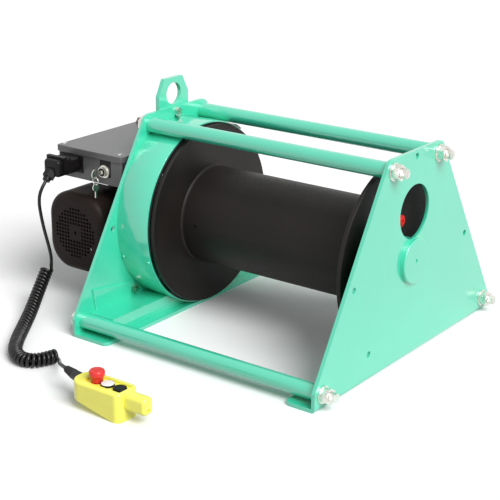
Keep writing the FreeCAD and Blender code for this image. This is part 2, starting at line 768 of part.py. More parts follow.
def motor_housing():
    """The finned motor case: a tube, with one fin repeated round it."""
    body = new_body()
    length = D.motor_end_y - D.motor_face_y - D.cowl_deep
    tube = sketch(body, "XZ_Plane", -D.motor_end_y)
    draw_circle(tube, D.motor_x, D.motor_z, D.body_dia)
    draw_circle(tube, D.motor_x, D.motor_z, D.body_bore)
    pad(body, tube, length)
    fin_start = D.motor_end_y - 8
    centre = sketch(body, "XZ_Plane", -fin_start)
    centre.AttachmentOffset = FreeCAD.Placement(
        FreeCAD.Vector(number(D.motor_x), number(D.motor_z), -number(fin_start)), FreeCAD.Rotation())
    centre.setExpression("AttachmentOffset.Base.x", D.motor_x.text)
    centre.setExpression("AttachmentOffset.Base.y", D.motor_z.text)
    half = D.fin_thick / 2
    draw_outline(centre, [
        (-half, D.body_dia / 2 - 2), (half, D.body_dia / 2 - 2),
        (half, D.fin_out / 2), (-half, D.fin_out / 2)])
    fin = pad(body, centre, length - 8)
    polar_copies(body, fin, centre, "N_Axis", D.fins)
    node("motor_housing", body)


def motor_end_shields():
    """The drive end flange and the fan end shield, each with a bearing seat."""
    end = D.motor_end_y
    drive = fuse(
        rod("y", (D.motor_x, end, D.motor_z), D.fin_out, BOX_FRONT - end),
        rod("y", (D.motor_x, end - 12, D.motor_z), D.body_bore, 12.0))
    drive = cut(
        drive,
        rod("y", (D.motor_x, end - 12, D.motor_z), 40.0, 18.0),
        rod("y", (D.motor_x, end + 6, D.motor_z), 26.0, 10.0))
    start = D.motor_face_y + D.cowl_deep
    fan_end = fuse(
        rod("y", (D.motor_x, start - 10, D.motor_z), 2 * (D.cowl_half - D.cowl_wall) - 1, 10.0),
        rod("y", (D.motor_x, start, D.motor_z), D.body_bore, 7.0))
    fan_end = cut(
        fan_end,
        rod("y", (D.motor_x, start - 5, D.motor_z), 40.0, 12.0),
        rod("y", (D.motor_x, start - 10, D.motor_z), 24.0, 5.0))
    node("motor_end_shields", group(drive, fan_end))


def brake_and_fan():
    """The spring brake's magnet and disc, and the cooling fan."""
    face = D.motor_face_y
    node("brake_magnet", ring("y", (D.motor_x, face + 62, D.motor_z), 104.0, 26.0, 26.0))
    node("brake_disc", ring("y", (D.motor_x, face + 55, D.motor_z), 98.0, D.motor_shaft, 5.0))
    hub = rod("y", (D.motor_x, face + 15, D.motor_z), 36.0, 26.0)
    parts = [hub]
    for blade in range(9):
        fin = doc.addObject("Part::Box", "Blade")
        fin.Length = 54
        fin.Width = 22
        fin.Height = 2.4
        angle = 40.0 * blade
        outward = FreeCAD.Rotation(FreeCAD.Vector(0, 1, 0), angle)
        start = outward.multVec(FreeCAD.Vector(12, 0, -1.2))
        place(fin, (number(D.motor_x) + start.x, number(face) + 17, number(D.motor_z) + start.z), outward)
        parts.append(fin)
    fan = fuse(*parts)
    node("cooling_fan", cut(fan, rod("y", (D.motor_x, face + 15, D.motor_z), D.motor_shaft, 26.0)))


def rounded_shell(inset, front, back, radius):
    """The cowl's outline as a solid bar, smaller all round by the inset."""
    wide = D.cowl_half - inset
    high = D.cowl_half_z - inset
    low = (D.motor_x - wide, front, D.motor_z - high)
    top = (D.motor_x + wide, back, D.motor_z + high)
    return round_edges(block(low, top), radius, lambda middle, edge: is_line(edge, Y_AXIS))


def fan_cover():
    """The pressed cowl over the fan, with a round field of square air holes in its face."""
    face = D.motor_face_y
    wall = D.cowl_wall
    outer = rounded_shell(0.0, face, face + D.cowl_deep, D.cowl_corner)
    outer = round_edges(outer, D.cowl_face, lambda middle, edge: close(middle.y, face))
    inner = rounded_shell(wall, face + wall, face + D.cowl_deep, D.cowl_corner - wall)
    inner = round_edges(inner, D.cowl_face - wall, lambda middle, edge: close(middle.y, face + wall))
    pitch = number(D.grille_pitch)
    hole = number(D.grille_hole)
    holes = []
    steps = [index + 0.5 for index in range(-7, 7)]
    for column in steps:
        for row in steps:
            if math.hypot(column, row) > 6.9 or max(abs(column), abs(row)) < 2:
                continue
            across = D.motor_x + column * pitch - hole / 2
            up = D.motor_z + row * pitch - hole / 2
            holes.append(block((across, face, up), (across + hole, face + wall, up + hole)))
    holes.append(rod("y", (D.motor_x, face, D.motor_z), 8.0, wall))
    node("fan_cover", cut(outer, inner, *holes))


def cap_screws():
    """The screws of the gearbox cover, the motor flange and the control box's lid."""
    screws = []
    for turn in range(6):
        angle = math.radians(30 + 60 * turn)
        across = D.box_y + 57.5 * math.cos(angle)
        up = WHEEL_Z + 57.5 * math.sin(angle)
        screws.append(prism("x", (D.box_left_x - D.box_wall - 5, across, up), 10.0, 5.0))
    for turn in range(4):
        angle = math.radians(45 + 90 * turn)
        across = D.motor_x + 74.5 * math.cos(angle)
        up = D.motor_z + 74.5 * math.sin(angle)
        screws.append(prism("y", (across, D.motor_end_y - 6, up), 7.0, 6.0))
    top = D.case_top + D.lid_thick
    for x in (D.case_left + 12, D.case_right - 12):
        for y in (D.case_front + 10, D.case_back - 10):
            head = rod("z", (x, y, top), 10.0, 3.2)
            slot = block((x - 5, y - 0.6, top + 2), (x + 5, y + 0.6, top + 3.2))
            screws.append(cut(head, slot))
    node("cap_screws", group(*screws))


# ---------------------------------------------------------------- control box

def control_box():
    wall = D.case_wall
    low = (D.case_left, D.case_front, D.case_low)
    case = block(low, (D.case_right, D.case_back, D.case_top))
    case = round_edges(case, 4.0, lambda middle, edge: is_line(edge, Z_AXIS))
    hollow = block(
        (D.case_left + wall, D.case_front + wall, D.case_low + wall),
        (D.case_right - wall, D.case_back - wall, D.case_top))
    key_hole = rod("y", (D.key_x, D.case_front, D.key_z), 22.0, wall)
    plug_hole = block(
        (D.plug_x - 16, D.case_front, D.plug_z - 10), (D.plug_x + 16, D.case_front + wall, D.plug_z + 10))
    node("control_box", cut(case, hollow, key_hole, plug_hole))


def control_box_lid():
    over = D.lid_over
    gap = 0.2
    outer = block(
        (D.case_left - over, D.case_front - over, D.case_top - D.lid_rim),
        (D.case_right + over, D.case_back + over, D.case_top + D.lid_thick))
    outer = round_edges(outer, 4.5, lambda middle, edge: is_line(edge, Z_AXIS))
    outer = round_edges(outer, 1.2, lambda middle, edge: close(middle.z, D.case_top + D.lid_thick))
    inner = block(
        (D.case_left - gap, D.case_front - gap, D.case_top - D.lid_rim),
        (D.case_right + gap, D.case_back + gap, D.case_top))
    node("control_box_lid", cut(outer, inner))


def case_fittings():
    """Rubber spacers to the end plate, the power lamp and inlet, and the gear inside."""
    spacers = []
    for y in (-160.0, 84.0):
        spacers.append(block((D.case_right, y, 298.0), (-D.end_x, y + 30.0, 343.5)))
    node("box_spacers", group(*spacers))
    top = D.case_top + D.lid_thick
    lamp = fuse(
        rod("z", (D.case_left + 13, 104.0, top), 23.0, 5.0),
        rod("z", (D.case_left + 13, 104.0, top + 5), 18.0, 7.0))
    node("power_lamp", round_edges(lamp, 3.0, lambda middle, edge: close(middle.z, top + 12)))
    inlet = fuse(
        block((-470.0, D.case_back, 296.0), (-410.0, D.case_back + 6, 342.0)),
        rod("y", (-440.0, D.case_back + 6, 319.0), 42.0, 40.0))
    inlet = cut(inlet, ring("y", (-440.0, D.case_back + 16, 319.0), 36.0, 24.0, 30.0))
    node("power_inlet", inlet)
    floor = D.case_low + D.case_wall
    gear = [
        block((-505.0, -60.0, floor), (-460.0, 15.0, floor + 50)),
        block((-450.0, -60.0, floor), (-405.0, 15.0, floor + 50)),
        block((-500.0, 40.0, floor), (-430.0, 105.0, floor + 55))]
    node("control_gear", group(*gear))


def connector():
    """The bulkhead socket, the plug's hood and gland, and the lever that locks them."""
    front = D.case_front
    flange_plate = block(
        (D.plug_x - 34, front - 3, D.plug_z - 19), (D.plug_x + 34, front, D.plug_z + 19))
    collar = block(
        (D.plug_x - 23, front - 26, D.plug_z - 18), (D.plug_x + 23, front - 3, D.plug_z + 19))
    collar = round_edges(collar, 8.0, lambda middle, edge: is_line(edge, Y_AXIS))
    node("socket_housing", fuse(flange_plate, collar))
    back = front - 26
    hood = block((D.plug_x - 23, back - 44, D.plug_z - 18), (D.plug_x + 23, back, D.plug_z + 21))
    hood = round_edges(hood, 8.0, lambda middle, edge: is_line(edge, Y_AXIS))
    node("plug_hood", round_edges(
        hood, 9.0, lambda middle, edge: is_line(edge, X_AXIS) and middle.z > number(D.plug_z)
        and middle.y < number(back) - 40))
    gland = doc.addObject("Part::Cone", "Gland")
    gland.Radius1 = 11.5
    gland.Radius2 = 8.5
    gland.Height = 26
    place(gland, GLAND_ROOT, GLAND_TURN)
    nut = doc.addObject("Part::Prism", "GlandNut")
    nut.Polygon = 6
    nut.Circumradius = 14
    nut.Height = 17
    place(nut, GLAND_ROOT, GLAND_TURN)
    node("cable_gland", cut(fuse(gland, nut), hood))
    node("locking_lever", locking_lever())


def locking_lever():
    """A bail over the hood: two arms with round pivot ends, joined by a bar."""
    front = D.case_front
    pivot_y = front - 10
    bar_y = front - 54
    bar_z = D.plug_z + 22
    arms = []
    for side in (-1, 1):
        near_x = D.plug_x + side * 23.5
        far_x = D.plug_x + side * 26.5
        low_x, high_x = (far_x, near_x) if side < 0 else (near_x, far_x)
        arms.append(rod("x", (low_x, pivot_y, D.plug_z), 13.0, 3.0))
        arms.append(block((low_x, bar_y, D.plug_z - 5), (high_x, pivot_y, D.plug_z + 5)))
        arms.append(block((low_x, bar_y, D.plug_z - 5), (high_x, bar_y + 11, bar_z)))
    bar = block((D.plug_x - 26.5, bar_y, bar_z - 0.5), (D.plug_x + 26.5, bar_y + 11, bar_z + 4))
    return round_edges(
        fuse(bar, *arms), 1.0, lambda middle, edge: is_line(edge, X_AXIS) and close(middle.z, bar_z + 4))


GLAND_LEAN = FreeCAD.Vector(0, -0.72, -0.694)
GLAND_TURN = FreeCAD.Rotation(Z_AXIS, GLAND_LEAN)
GLAND_ROOT = (D.plug_x - 2, D.case_front - 65, D.plug_z - 6)


def key_disc(at, dia, thick, hole_drop, hole_dia):
    """A key's bow: a thin disc across X with a hole near its lower edge."""
    x, y, z = at
    disc = rod("x", (x - thick / 2, y, z), dia, thick)
    return cut(disc, rod("x", (x - thick / 2, y, z - hole_drop), hole_dia, thick))


def key_switch():
    front = D.case_front
    plate = block(
        (D.key_x - 15, front - 1.2, D.key_z - 13), (D.key_x + 15, front, D.key_z + 24.5))
    plate = cut(plate, rod("y", (D.key_x, front - 1.2, D.key_z), 22.0, 1.2))
    node("legend_plate", plate)
    barrel = fuse(
        rod("y", (D.key_x, front - 13.2, D.key_z), 22.0, 13.2 + 24),
        rod("y", (D.key_x, front - 5.2, D.key_z), 29.0, 4.0))
    node("key_switch", cut(barrel, rod("y", (D.key_x, front - 13.2, D.key_z), 9.0, 24.0)))
    bow_y = front - 33.0
    core = rod("y", (D.key_x, front - 14.0, D.key_z), 8.9, 22.0)
    blade = block((D.key_x - 1.2, bow_y, D.key_z - 4), (D.key_x + 1.2, front - 14.0, D.key_z + 4))
    bow = key_disc((D.key_x, bow_y, D.key_z), 23.0, 2.4, 7.5, 5.0)
    eye = rod("x", (D.key_x - 2, bow_y, D.key_z - 7.5), 5.0, 4.0)
    node("switch_key", cut(fuse(core, blade, bow), eye))
    loop = doc.addObject("Part::Torus", "Loop")
    loop.Radius1 = 8.0
    loop.Radius2 = 0.9
    place(loop, (D.key_x, bow_y, D.key_z - 15.5), TURN["y"])
    spare_z = D.key_z - 29.5
    spare_bow = key_disc((D.key_x, bow_y, spare_z), 19.0, 2.4, -6.0, 5.0)
    spare_blade = block(
        (D.key_x - 1.2, bow_y - 2.5, spare_z - 24), (D.key_x + 1.2, bow_y + 2.5, spare_z - 8))
    node("key_ring", group(loop, fuse(spare_bow, spare_blade)))


# ---------------------------------------------------------------- pendant

def pendant_block(bottom, top):
    """The pendant's outline in plan, full round at the cord end, between two heights."""
    y = D.pend_y
    form = block((D.pend_left, y - D.pend_half, bottom), (D.pend_right, y + D.pend_half, top))
    form = round_edges(
        form, D.pend_round, lambda middle, edge: is_line(edge, Z_AXIS) and close(middle.x, D.pend_left))
    return round_edges(
        form, D.pend_square, lambda middle, edge: is_line(edge, Z_AXIS) and close(middle.x, D.pend_right))


def slope_below(lift):
    """The wedge of space under the pendant's sloping underside, raised by a wall."""
    left, right = number(D.pend_left), number(D.pend_right) - 10
    angle = math.atan2(number(D.pend_rise), right - left)
    deep = 60.0
    wedge = doc.addObject("Part::Box", "Slope")
    wedge.Length = 160
    wedge.Width = 2 * D.pend_half.value + 10
    wedge.Height = deep
    start_x = left - 10
    start_z = number(D.pend_rise) + 10 * math.tan(angle) + lift
    corner = (
        start_x - deep * math.sin(angle), number(D.pend_y) - D.pend_half.value - 5,
        start_z - deep * math.cos(angle))
    place(wedge, corner, FreeCAD.Rotation(Y_AXIS, math.degrees(angle)))
    return wedge


def pendant_nose(seam):
    """The rounded nose at the pendant's free end, with a slot in its end for a hanging hook."""
    y = D.pend_y
    root = D.pend_right - 4
    outer = D.pend_right + 0.3
    grip = block((outer, y - D.nose_half, D.nose_low), (D.nose_end, y + D.nose_half, D.nose_top))
    grip = round_edges(grip, 10.0, lambda middle, edge: is_line(edge, X_AXIS))
    grip = round_edges(grip, 6.0, lambda middle, edge: close(middle.x, D.nose_end))
    neck = block((root, y - D.nose_half + 3, seam), (outer + 2, y + D.nose_half - 3, D.nose_top - 4))
    return fuse(grip, neck)


def pendant():
    """The two-button pendant with a stop button, lying on the floor face up."""
    y = D.pend_y
    wall = 3.0
    inner_half = D.pend_half - wall
    base = cut(pendant_block(0.0, D.pend_split), slope_below(0.0))
    hollow = block((D.stop_x - 8, y - inner_half, wall), (D.pend_right - 10, y + inner_half, D.pend_split))
    node("pendant_base", cut(base, cut(hollow, slope_below(wall))))
    seam = D.pend_split + 0.2
    low = D.pend_top - 8
    cover = pendant_block(seam, D.pend_top)
    cover = round_edges(cover, 6.0, lambda middle, edge: close(middle.z, D.pend_top))
    nose = pendant_nose(seam)
    inside = block(
        (D.pend_left + 20, y - inner_half, seam), (D.pend_right - 6, y + inner_half, low))
    recess = block((D.stop_x - 21, y - 18, D.pend_top - 4), (D.pend_right - 6, y + 18, D.pend_top))
    openings = [rod("z", (D.stop_x, y, low), D.stop_stem + 1, 4.0)]
    for x in (D.raise_x, D.lower_x):
        openings.append(rod("z", (x, y, low), D.push_dia + 0.6, 4.0))
    slot = block((D.nose_end - 8, y - 5, D.nose_low + 8), (D.nose_end, y + 5, D.nose_low + 13))
    node("pendant_cover", cut(fuse(cover, nose), inside, recess, slot, *openings))
    head = low + 17
    stop = fuse(
        rod("z", (D.stop_x, y, low), D.stop_stem, 18.0), rod("z", (D.stop_x, y, head), D.stop_head, 13.0))
    stop = round_edges(stop, 4.0, lambda middle, edge: close(middle.z, head + 13))
    node("stop_button", stop)
    for name, x in (("raise_button", D.raise_x), ("lower_button", D.lower_x)):
        cap = rod("z", (x, y, low), D.push_dia, 9.5)
        node(name, round_edges(cap, 2.0, lambda middle, edge: close(middle.z, low + 9.5)))
    node("switch_block", block((D.stop_x + 4, y - 15, D.pend_split - 12), (D.pend_right - 12, y + 15, low - 5.5)))
    boot = doc.addObject("Part::Cone", "Boot")
    boot.Radius1 = 6.5
    boot.Radius2 = 12.5
    boot.Height = BOOT_LONG
    place(boot, BOOT_TIP, FreeCAD.Rotation(Z_AXIS, BOOT_LEAN))
    node("cord_boot", cut(boot, pendant_block(0.0, D.pend_top)))


# ---------------------------------------------------------------- cord

BOOT_TIP = (-135.0, -555.0, 46.0)
BOOT_LEAN = FreeCAD.Vector(52, -18, 1)
BOOT_LONG = 60.0

UPPER_ROUTE = [
    (-480.0, -248.8, 297.9), (-480.2, -267.0, 280.4), (-484.0, -269.5, 253.0),
    (-486.5, -262.5, 220.0), (-483.0, -258.0, 185.0), (-475.0, -254.5, 150.0),
    (-470.0, -252.0, 121.0), (-481.2, -243.8, 88.3)]
COIL_ROUTE = [
    (-492.5, -246.0, 86.3), (-480.0, -288.5, 48.0), (-452.0, -342.0, 22.0),
    (-412.0, -404.0, 15.7), (-370.0, -464.0, 15.7), (-330.0, -510.0, 15.7),
    (-286.0, -529.0, 15.7), (-255.0, -512.0, 15.7), (-247.0, -474.0, 15.7)]
LOWER_ROUTE = [
    (-234.0, -479.0, 16.5), (-218.0, -491.0, 19.0), (-200.0, -509.0, 27.0),
    (-180.0, -530.0, 38.0), (-160.0, -545.5, 44.5), (-136.8, -554.4, 46.0)]


def smooth_path(route):
    """Straight runs joined by tangent arcs, each as large as its two runs allow."""
    points = [FreeCAD.Vector(*point) for point in route]
    edges = []
    radii = []
    start = points[0]
    for before, corner, after in zip(points, points[1:], points[2:]):
        inward = (before - corner).normalize()
        outward = (after - corner).normalize()
        half_turn = (math.pi - inward.getAngle(outward)) / 2
        reach = 0.45 * min((before - corner).Length, (after - corner).Length)
        radii.append(reach / math.tan(half_turn))
        arc_start = corner + inward * reach
        arc_end = corner + outward * reach
        centre = corner + (inward + outward).normalize() * (radii[-1] / math.cos(half_turn))
        arc_middle = centre + (corner - centre).normalize() * radii[-1]
        edges.append(Part.LineSegment(start, arc_start).toShape())
        edges.append(Part.Arc(arc_start, arc_middle, arc_end).toShape())
        start = arc_end
    edges.append(Part.LineSegment(start, points[-1]).toShape())
    return Part.Wire(edges), radii


def cord_tube(name, route, dia):
    """A tube along a route; its volume is checked against section times length."""
    path, radii = smooth_path(route)
    radius = number(dia) / 2
    first = path.Edges[0]
    direction = first.tangentAt(first.FirstParameter)
    circle = Part.Wire(Part.Circle(FreeCAD.Vector(*route[0]), direction, radius).toShape())
    shape = path.makePipeShell([circle], True, False)
    expected = math.pi * radius ** 2 * path.Length
    if abs(shape.Volume - expected) > 0.01 * expected:
        raise RuntimeError("%s: the tube's volume does not match its length" % name)
    print(name, "length %.0f mm, radii" % path.Length, " ".join("%.0f" % radius for radius in radii))
    tube = doc.addObject("Part::Feature", "Tube")
    tube.Shape = shape
    node(name, tube)


def cords():
    cord_tube("cord_upper", UPPER_ROUTE, D.cord_dia)
    cord_tube("cord_coil", COIL_ROUTE, D.coil_dia)
    cord_tube("cord_lower", LOWER_ROUTE, D.cord_dia)


# ---------------------------------------------------------------- build and export

def build():
    end_plate("left_end_plate", -1, D.left_foot)
    end_plate("right_end_plate", 1, D.right_foot)
    tie_tubes()
    tie_rods()
    base_channel()
    wall_pad()
    lifting_lug()
    frame_bolts()
    drum_guard()
    guard_edge_strip()
    guard_joint_bar()
    drum_gear()
    drum()
    bearing_housings()
    bearings()
    gearbox_housing()
    worm_wheel()
    pinion_shaft()
    motor_shaft()
    rotor_and_stator()
    motor_housing()
    motor_end_shields()
    brake_and_fan()
    fan_cover()
    cap_screws()
    control_box()
    control_box_lid()
    case_fittings()
    connector()
    key_switch()
    pendant()
    cords()


def check_and_export():
    """Stop at any failed feature or bad shape, then write one file for each node."""
    doc.recompute()
    for obj in doc.Objects:
        if "Invalid" in obj.State or "Error" in obj.State:
            raise RuntimeError("%s (%s) failed: %s" % (obj.Name, obj.Label, obj.State))
    for name, obj in NODES.items():
        shape = obj.Shape
        if shape.isNull() or not shape.isValid() or not shape.Solids:
            raise RuntimeError(name + " has no valid solid")
    os.makedirs("parts", exist_ok=True)
    for name, obj in NODES.items():
        obj.Shape.exportStep(os.path.join("parts", name + ".step"))
    print(len(NODES), "nodes written")


build()
check_and_export()
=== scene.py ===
import bpy
import bmesh
import math
from mathutils import Matrix, Vector


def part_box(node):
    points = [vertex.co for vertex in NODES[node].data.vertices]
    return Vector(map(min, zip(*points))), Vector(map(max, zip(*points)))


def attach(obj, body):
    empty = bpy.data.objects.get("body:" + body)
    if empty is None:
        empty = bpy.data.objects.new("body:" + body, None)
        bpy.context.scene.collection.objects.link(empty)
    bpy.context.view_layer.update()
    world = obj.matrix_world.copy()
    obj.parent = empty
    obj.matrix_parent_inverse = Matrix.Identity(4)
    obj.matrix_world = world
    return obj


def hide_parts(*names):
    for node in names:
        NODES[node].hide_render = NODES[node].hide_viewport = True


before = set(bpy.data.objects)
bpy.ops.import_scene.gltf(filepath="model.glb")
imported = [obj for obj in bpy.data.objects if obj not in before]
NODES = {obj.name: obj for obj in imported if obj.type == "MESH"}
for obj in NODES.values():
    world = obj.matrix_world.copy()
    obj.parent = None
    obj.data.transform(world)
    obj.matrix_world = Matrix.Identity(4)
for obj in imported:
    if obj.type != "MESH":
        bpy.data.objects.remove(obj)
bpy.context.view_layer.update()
MM = 0.001


def metres(*values):
    return Vector(values) * MM


# ---------------------------------------------------------------- camera

CAMERA_AT = metres(1610.0, -2301.6, 1146.1)
CAMERA_TO = metres(30.5, -175.5, 223.0)
CAMERA_ROLL = math.radians(0.24)
LENS = 97.8


def make_camera():
    """A long lens at the photograph's viewing angle, with a slight roll."""
    data = bpy.data.cameras.new("camera")
    data.lens = LENS
    data.sensor_width = 36
    camera = bpy.data.objects.new("camera", data)
    bpy.context.scene.collection.objects.link(camera)
    forward = (CAMERA_TO - CAMERA_AT).normalized()
    level = forward.cross(Vector((0, 0, 1))).normalized()
    upright = level.cross(forward)
    right = level * math.cos(CAMERA_ROLL) + upright * math.sin(CAMERA_ROLL)
    up = right.cross(forward)
    turn = Matrix((right, up, -forward)).transposed()
    camera.matrix_world = Matrix.Translation(CAMERA_AT) @ turn.to_4x4()
    data.clip_end = 50
    bpy.context.scene.camera = camera


# ---------------------------------------------------------------- cord

CORD_DIA = 7.7 * MM
COIL_DIA = 31.0 * MM
COIL_TURNS = 45
POINTS_PER_TURN = 16
SPREAD_MOST = 0.55
SPREAD_AT = 0.40
SPREAD_REACH = 0.16
SPLINE_SHRINK = 0.985

UPPER_ROUTE = [
    (-480.0, -248.8, 297.9), (-480.2, -267.0, 280.4), (-484.0, -269.5, 253.0),
    (-486.5, -262.5, 220.0), (-483.0, -258.0, 185.0), (-475.0, -254.5, 150.0),
    (-470.0, -252.0, 121.0)]
COIL_ROUTE = [
    (-492.5, -246.0, 86.3), (-480.0, -288.5, 48.0), (-452.0, -342.0, 22.0),
    (-412.0, -404.0, 15.7), (-370.0, -464.0, 15.7), (-330.0, -510.0, 15.7),
    (-286.0, -529.0, 15.7), (-255.0, -512.0, 15.7), (-247.0, -474.0, 15.7)]
LOWER_ROUTE = [
    (-218.0, -491.0, 19.0), (-200.0, -509.0, 27.0),
    (-180.0, -530.0, 38.0), (-160.0, -545.5, 44.5), (-136.8, -554.4, 46.0)]


def nurbs_object(name, points):
    """A curve object with one smooth open spline through its end points."""
    curve = bpy.data.curves.new(name, "CURVE")
    curve.dimensions = "3D"
    curve.resolution_u = 6
    spline = curve.splines.new("NURBS")
    spline.points.add(len(points) - 1)
    for point, at in zip(spline.points, points):
        point.co = (*at, 1)
    spline.order_u = 3
    spline.use_endpoint_u = True
    obj = bpy.data.objects.new(name, curve)
    bpy.context.scene.collection.objects.link(obj)
    return obj


def points_along(curve_object):
    """The points of a curve's smooth line, in order."""
    mesh = bpy.data.meshes.new_from_object(curve_object)
    line = [vertex.co.copy() for vertex in mesh.vertices]
    bpy.data.meshes.remove(mesh)
    return line


def even_points(route, count):
    """Points at equal steps along the smooth line of a route."""
    guide = nurbs_object("guide", route)
    guide.data.resolution_u = 24
    line = points_along(guide)
    bpy.data.objects.remove(guide)
    reach = [0.0]
    for before, after in zip(line, line[1:]):
        reach.append(reach[-1] + (after - before).length)
    points = []
    index = 0
    for step in range(count):
        target = reach[-1] * step / (count - 1)
        while index < len(reach) - 2 and reach[index + 1] < target:
            index += 1
        share = (target - reach[index]) / (reach[index + 1] - reach[index])
        points.append(line[index].lerp(line[index + 1], share))
    return points


def turn_spacing(share):
    """How far apart the turns lie, against those at the ends: a spread chosen for the bend."""
    return 1.0 + SPREAD_MOST * math.exp(-((share - SPREAD_AT) / SPREAD_REACH) ** 2)


def helix(route, radius, turns):
    """The turns of a curly cord round a route, from the side where the straight cord arrives."""
    count = turns * POINTS_PER_TURN + 1
    centre = even_points(route, count)
    steps = [1 / turn_spacing(index / (count - 1)) for index in range(count - 1)]
    step_angle = 2 * math.pi * turns / sum(steps)
    side = Vector((1, 0, 0))
    points = []
    angle = 0.0
    for index, at in enumerate(centre):
        ahead = centre[min(index + 1, count - 1)] - centre[max(index - 1, 0)]
        ahead.normalize()
        side = (side - ahead * side.dot(ahead)).normalized()
        around = side * math.cos(angle) - ahead.cross(side) * math.sin(angle)
        points.append(at + around * radius)
        if index < count - 1:
            angle += step_angle * steps[index]
    return points


def make_cord():
    """The pendant's curly cord, from the plug's gland down to the pendant's boot."""
    upper = [metres(*point) for point in UPPER_ROUTE]
    lower = [metres(*point) for point in LOWER_ROUTE]
    coil_radius = (COIL_DIA - CORD_DIA) / 2 / SPLINE_SHRINK
    coil = helix([metres(*point) for point in COIL_ROUTE], coil_radius, COIL_TURNS)
    line = nurbs_object("cord_line", upper + coil + lower)
    line.data.resolution_u = 3
    path = points_along(line)
    line.data.bevel_depth = CORD_DIA / 2
    line.data.bevel_resolution = 3
    line.data.use_fill_caps = True
    mesh = bpy.data.meshes.new_from_object(line)
    bpy.data.objects.remove(line)
    for polygon in mesh.polygons:
        polygon.use_smooth = True
    cord = bpy.data.objects.new("pendant_cord", mesh)
    bpy.context.scene.collection.objects.link(cord)
    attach(cord, "frame")
    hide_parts("cord_upper", "cord_coil", "cord_lower")
    return cord


make_camera()
cord = make_cord()


# ---------------------------------------------------------------- materials

def texture_noise(tree, scale, stretch=(1, 1, 1), detail=3.0):
    """A noise over the object's own coordinates, which are metres from the row's origin."""
    coords = tree.nodes.new("ShaderNodeTexCoord")
    mapping = tree.nodes.new("ShaderNodeMapping")
    mapping.inputs["Scale"].default_value = stretch
    noise = tree.nodes.new("ShaderNodeTexNoise")
    noise.inputs["Scale"].default_value = scale
    noise.inputs["Detail"].default_value = detail
    tree.links.new(coords.outputs["Object"], mapping.inputs["Vector"])
    tree.links.new(mapping.outputs["Vector"], noise.inputs["Vector"])
    return noise.outputs["Fac"]


def ranged(tree, value, low, high):
    """The middle of a noise spread over a range of numbers."""
    node = tree.nodes.new("ShaderNodeMapRange")
    node.inputs["From Min"].default_value = 0.3
    node.inputs["From Max"].default_value = 0.7
    node.inputs["To Min"].default_value = low
    node.inputs["To Max"].default_value = high
    tree.links.new(value, node.inputs["Value"])
    return node.outputs["Result"]


def make_material(
        name, color, roughness, metallic=0.0, coat=0.0, tone=0.08, tone_scale=7.0,
        rough_spread=0.06, grain=300.0, bump=0.0003, strength=0.25, stretch=(1, 1, 1), specular=0.5,
        coat_ior=1.5):
    """A finish with drifting tone, uneven gloss and a fine surface grain."""
    material = bpy.data.materials.new(name)
    material.use_nodes = True
    tree = material.node_tree
    shader = tree.nodes["Principled BSDF"]
    shader.inputs["Metallic"].default_value = metallic
    shader.inputs["Coat Weight"].default_value = coat
    shader.inputs["Coat Roughness"].default_value = 0.12
    shader.inputs["Coat IOR"].default_value = coat_ior
    shader.inputs["Specular IOR Level"].default_value = specular
    mix = tree.nodes.new("ShaderNodeMix")
    mix.data_type = "RGBA"
    mix.inputs["A"].default_value = (*[channel * (1 - tone) for channel in color], 1)
    mix.inputs["B"].default_value = (*[min(1.0, channel * (1 + tone)) for channel in color], 1)
    wide = texture_noise(tree, tone_scale, detail=5.0)
    tree.links.new(ranged(tree, wide, 0.0, 1.0), mix.inputs["Factor"])
    tree.links.new(mix.outputs["Result"], shader.inputs["Base Color"])
    fine = texture_noise(tree, grain, stretch)
    low, high = max(0.05, roughness - rough_spread), min(1.0, roughness + rough_spread)
    tree.links.new(ranged(tree, fine, low, high), shader.inputs["Roughness"])
    relief = tree.nodes.new("ShaderNodeBump")
    relief.inputs["Strength"].default_value = strength
    relief.inputs["Distance"].default_value = bump
    tree.links.new(fine, relief.inputs["Height"])
    tree.links.new(relief.outputs["Normal"], shader.inputs["Normal"])
    return material


